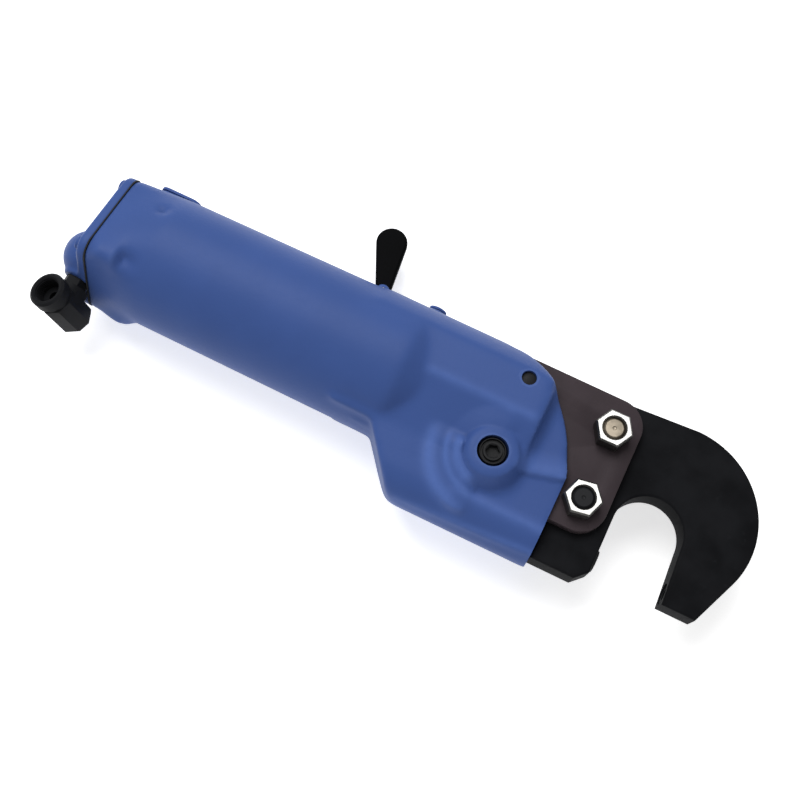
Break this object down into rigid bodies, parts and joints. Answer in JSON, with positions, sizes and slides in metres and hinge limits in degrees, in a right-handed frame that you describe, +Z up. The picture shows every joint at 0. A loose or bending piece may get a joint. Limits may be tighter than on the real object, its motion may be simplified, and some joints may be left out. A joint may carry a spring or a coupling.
{
  "type": "pneumatic rivet squeezer",
  "caption": "Hand-held air tool with a painted barrel, thumb lever and steel C-yoke whose ram is pushed by a piston, wedge and crank to squeeze rivets.",
  "frame": {"origin": "on the barrel's axis at the middle of the hand grip", "axes": "+X along the barrel towards the yoke, +Y towards the throttle lever, +Z up when the tool lies on its side"},
  "size_m": [0.3228, 0.1196, 0.061],
  "materials": {
    "blue_paint": "smooth blue enamel over a casting",
    "black_oxide": "black oxide, satin",
    "plate_steel": "browned steel, satin",
    "zinc_steel": "bright zinc",
    "bare_steel": "ground steel",
    "black_screw": "black oxide",
    "spring_steel": "spring wire",
    "bronze": "bearing bronze",
    "piston_alloy": "turned alloy",
    "seal_rubber": "moulded rubber",
    "gasket_paper": "gasket sheet"
  },
  "bodies": {
    "housing": {"cylinder_body": "blue_paint", "backhead": "blue_paint", "backhead_gasket": "gasket_paper", "backhead_screws": "black_screw", "divider": "piston_alloy", "divider_seals": "seal_rubber", "divider_circlips": "spring_steel", "rod_bush": "bronze", "return_spring": "spring_steel", "left_side_plate": "plate_steel", "right_side_plate": "plate_steel", "yoke": "black_oxide", "yoke_bolts": "bare_steel", "yoke_nuts": "zinc_steel", "pivot_screw": "black_screw", "backup_pin": "black_screw", "ram_bush": "bronze", "ram_spring": "spring_steel", "throttle_plug": "black_screw", "throttle_spring": "spring_steel", "lever_pin": "bare_steel", "swivel_stem": "bare_steel", "stem_clip": "spring_steel", "exhaust_cover": "black_oxide", "exhaust_screws": "black_screw", "oil_plug": "black_screw"},
    "piston": {"piston_rod": "bare_steel", "rear_piston": "piston_alloy", "rear_piston_seal": "seal_rubber", "front_piston": "piston_alloy", "front_piston_seal": "seal_rubber", "rod_nut": "bare_steel", "rod_circlips": "spring_steel", "wedge": "bare_steel", "wedge_pin": "bare_steel"},
    "crank": {"crank": "bare_steel", "crank_bush": "bronze", "roller_pin": "bare_steel"},
    "cam_roller": {"cam_roller": "bare_steel"},
    "backup_roller": {"backup_roller": "bare_steel"},
    "ram": {"ram": "bare_steel"},
    "lever": {"throttle_lever": "black_oxide"},
    "valve": {"throttle_valve": "bare_steel", "valve_seal": "seal_rubber"},
    "swivel": {"swivel_body": "black_oxide"}
  },
  "joints": [
    {"name": "piston_slide", "type": "slide", "parent": "housing", "child": "piston", "axis": [1, 0, 0], "range_m": [0, 0.034], "stiffness_N_per_m": 250, "springref_m": -0.03, "deforming": ["return_spring"]},
    {"name": "crank_turn", "type": "hinge", "parent": "housing", "child": "crank", "pos_m": [0.1197, -0.0206, 0], "axis": [0, 0, 1], "range_deg": [0, 30]},
    {"name": "ram_slide", "type": "slide", "parent": "housing", "child": "ram", "axis": [1, 0, 0], "range_m": [0, 0.00958], "deforming": ["ram_spring"]},
    {"name": "cam_roller_spin", "type": "hinge", "parent": "crank", "child": "cam_roller", "pos_m": [0.10766, -0.00722, 0], "axis": [0, 0, 1], "range_deg": [-460, 0]},
    {"name": "backup_roller_spin", "type": "hinge", "parent": "housing", "child": "backup_roller", "pos_m": [0.1204, 0.0138, 0], "axis": [0, 0, 1], "range_deg": [0, 260]},
    {"name": "lever_pull", "type": "hinge", "parent": "housing", "child": "lever", "pos_m": [0.044, 0.0347, -0.014], "axis": [0, 0, 1], "range_deg": [0, 22], "stiffness_Nm_per_rad": 0.4, "springref_deg": -17.19},
    {"name": "valve_slide", "type": "slide", "parent": "housing", "child": "valve", "axis": [1, 0, 0], "range_m": [0, 0.0029], "deforming": ["throttle_spring"]},
    {"name": "swivel_turn", "type": "hinge", "parent": "housing", "child": "swivel", "pos_m": [-0.076, -0.0373, 0], "axis": [0, -1, 0], "continuous": true}
  ],
  "couplings": [
    {"joint": "crank_turn", "follows": "piston_slide", "rad_per_m": 15.4},
    {"joint": "ram_slide", "follows": "piston_slide", "ratio": 0.28166},
    {"joint": "cam_roller_spin", "follows": "piston_slide", "rad_per_m": -228.77},
    {"joint": "backup_roller_spin", "follows": "piston_slide", "rad_per_m": 130.72},
    {"joint": "valve_slide", "follows": "lever_pull", "m_per_rad": 0.0075}
  ]
}
